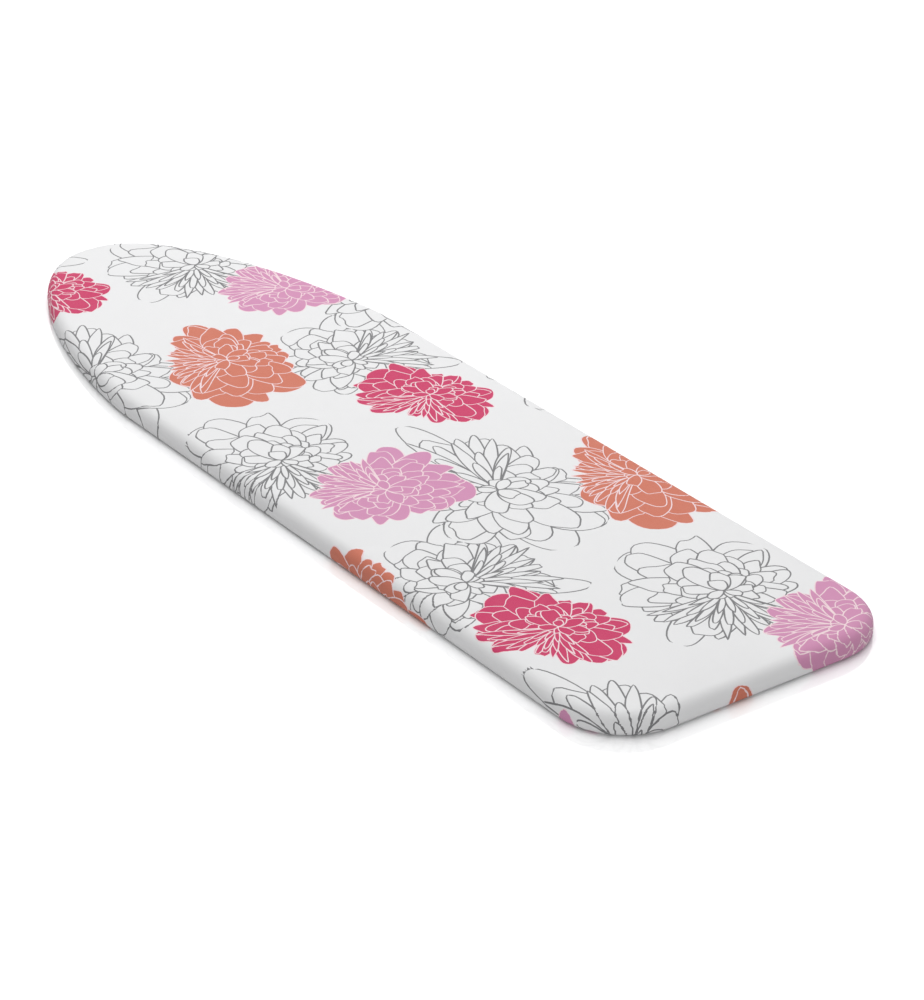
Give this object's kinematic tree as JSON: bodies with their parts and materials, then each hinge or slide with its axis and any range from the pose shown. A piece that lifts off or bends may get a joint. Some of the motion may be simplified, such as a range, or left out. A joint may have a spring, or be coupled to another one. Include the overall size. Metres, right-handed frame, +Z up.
{
  "type": "ironing board",
  "caption": "Folding ironing board lying flat: padded printed cotton cover over a steel deck with a rounded nose and square tail, crossed legs stowed underneath.",
  "frame": {"origin": "on the floor under the middle of the board, at the bottom centre of its bounding box as it lies flat", "axes": "+X along the board to the square tail, the rounded nose points to -X, +Y across the board, +Z up"},
  "size_m": [1.3, 0.38, 0.0241],
  "materials": {
    "roller_axle": "zinc plated",
    "axle_cap_l": "moulded nylon",
    "axle_cap_r": "moulded nylon",
    "roller_l": "moulded rubber",
    "roller_r": "moulded rubber",
    "rear_foot_tube": "pale grey powder coat, satin",
    "rear_bush_l": "moulded nylon",
    "rear_bush_r": "moulded nylon",
    "rear_leg_l": "pale grey powder coat, satin",
    "rear_leg_r": "pale grey powder coat, satin",
    "rear_brace": "pale grey powder coat, satin",
    "slider_bar": "zinc plated",
    "slider_bush": "moulded nylon",
    "front_leg_l": "pale grey powder coat, satin",
    "front_leg_r": "pale grey powder coat, satin",
    "front_foot_tube": "pale grey powder coat, satin",
    "front_cap_l": "moulded rubber",
    "front_cap_r": "moulded rubber",
    "pivot_bolt": "zinc plated",
    "pivot_nut": "zinc plated",
    "pivot_spacer_l": "moulded nylon",
    "pivot_spacer_r": "moulded nylon",
    "cover_fabric": "printed cotton, matt",
    "hem_elastic": "covered elastic cord",
    "pad_felt": "needled felt",
    "deck_panel": "galvanised sheet",
    "rim_left": "zinc plated",
    "rim_right": "zinc plated",
    "rim_nose": "zinc plated",
    "rim_tail": "zinc plated",
    "hinge_bracket_l": "zinc plated",
    "hinge_bracket_r": "zinc plated",
    "hinge_pin_l": "zinc plated",
    "hinge_pin_r": "zinc plated",
    "rail_plate": "zinc plated",
    "rail_upper_l": "zinc plated",
    "rail_upper_r": "zinc plated",
    "rail_lower_l": "zinc plated",
    "rail_lower_r": "zinc plated",
    "rail_end_tail": "moulded nylon",
    "rail_end_nose": "moulded nylon",
    "tail_rest_l": "moulded rubber",
    "tail_rest_r": "moulded rubber",
    "foot_cradle_l": "moulded rubber",
    "foot_cradle_r": "moulded rubber",
    "rod_clip_1": "zinc plated",
    "rod_clip_2": "zinc plated",
    "rod_clip_3": "zinc plated",
    "lock_rod": "zinc plated",
    "lock_comb": "zinc plated",
    "lock_tongue": "zinc plated",
    "lock_grip": "moulded grip"
  },
  "bodies": {
    "axle": {"roller_axle": "roller_axle", "axle_cap_l": "axle_cap_l", "axle_cap_r": "axle_cap_r"},
    "roller_left": {"roller_l": "roller_l"},
    "roller_right": {"roller_r": "roller_r"},
    "rear_legs": {"rear_foot_tube": "rear_foot_tube", "rear_bush_l": "rear_bush_l", "rear_bush_r": "rear_bush_r", "rear_leg_l": "rear_leg_l", "rear_leg_r": "rear_leg_r", "rear_brace": "rear_brace", "slider_bar": "slider_bar", "slider_bush": "slider_bush"},
    "front_legs": {"front_leg_l": "front_leg_l", "front_leg_r": "front_leg_r", "front_foot_tube": "front_foot_tube", "front_cap_l": "front_cap_l", "front_cap_r": "front_cap_r", "pivot_bolt": "pivot_bolt", "pivot_nut": "pivot_nut", "pivot_spacer_l": "pivot_spacer_l", "pivot_spacer_r": "pivot_spacer_r"},
    "board": {"cover_fabric": "cover_fabric", "hem_elastic": "hem_elastic", "pad_felt": "pad_felt", "deck_panel": "deck_panel", "rim_left": "rim_left", "rim_right": "rim_right", "rim_nose": "rim_nose", "rim_tail": "rim_tail", "hinge_bracket_l": "hinge_bracket_l", "hinge_bracket_r": "hinge_bracket_r", "hinge_pin_l": "hinge_pin_l", "hinge_pin_r": "hinge_pin_r", "rail_plate": "rail_plate", "rail_upper_l": "rail_upper_l", "rail_upper_r": "rail_upper_r", "rail_lower_l": "rail_lower_l", "rail_lower_r": "rail_lower_r", "rail_end_tail": "rail_end_tail", "rail_end_nose": "rail_end_nose", "tail_rest_l": "tail_rest_l", "tail_rest_r": "tail_rest_r", "foot_cradle_l": "foot_cradle_l", "foot_cradle_r": "foot_cradle_r", "rod_clip_1": "rod_clip_1", "rod_clip_2": "rod_clip_2", "rod_clip_3": "rod_clip_3"},
    "height_lock": {"lock_rod": "lock_rod", "lock_comb": "lock_comb", "lock_tongue": "lock_tongue", "lock_grip": "lock_grip"}
  },
  "joints": [
    {"name": "roller_left_spin", "type": "hinge", "parent": "axle", "child": "roller_left", "pos_m": [0.602, 0, 0.0095], "axis": [0, 1, 0], "continuous": true},
    {"name": "roller_right_spin", "type": "hinge", "parent": "axle", "child": "roller_right", "pos_m": [0.602, 0, 0.0095], "axis": [0, 1, 0], "continuous": true},
    {"name": "rear_legs_swing", "type": "hinge", "parent": "axle", "child": "rear_legs", "pos_m": [0.602, 0, 0.0095], "axis": [0, 1, 0], "range_deg": [0, 54]},
    {"name": "front_legs_swing", "type": "hinge", "parent": "rear_legs", "child": "front_legs", "pos_m": [0.0392, 0, 0.0095], "axis": [0, 1, 0], "range_deg": [-108, 0]},
    {"name": "board_lift", "type": "hinge", "parent": "front_legs", "child": "board", "pos_m": [0.547, 0, 0.0095], "axis": [0, 1, 0], "range_deg": [0, 54]},
    {"name": "height_lock_turn", "type": "hinge", "parent": "board", "child": "height_lock", "pos_m": [0.522, 0.034, 0.0165], "axis": [1, 0, 0], "range_deg": [0, 80]}
  ],
  "couplings": [
    {"joint": "front_legs_swing", "follows": "rear_legs_swing", "ratio": -2},
    {"joint": "board_lift", "follows": "rear_legs_swing", "ratio": 1}
  ]
}
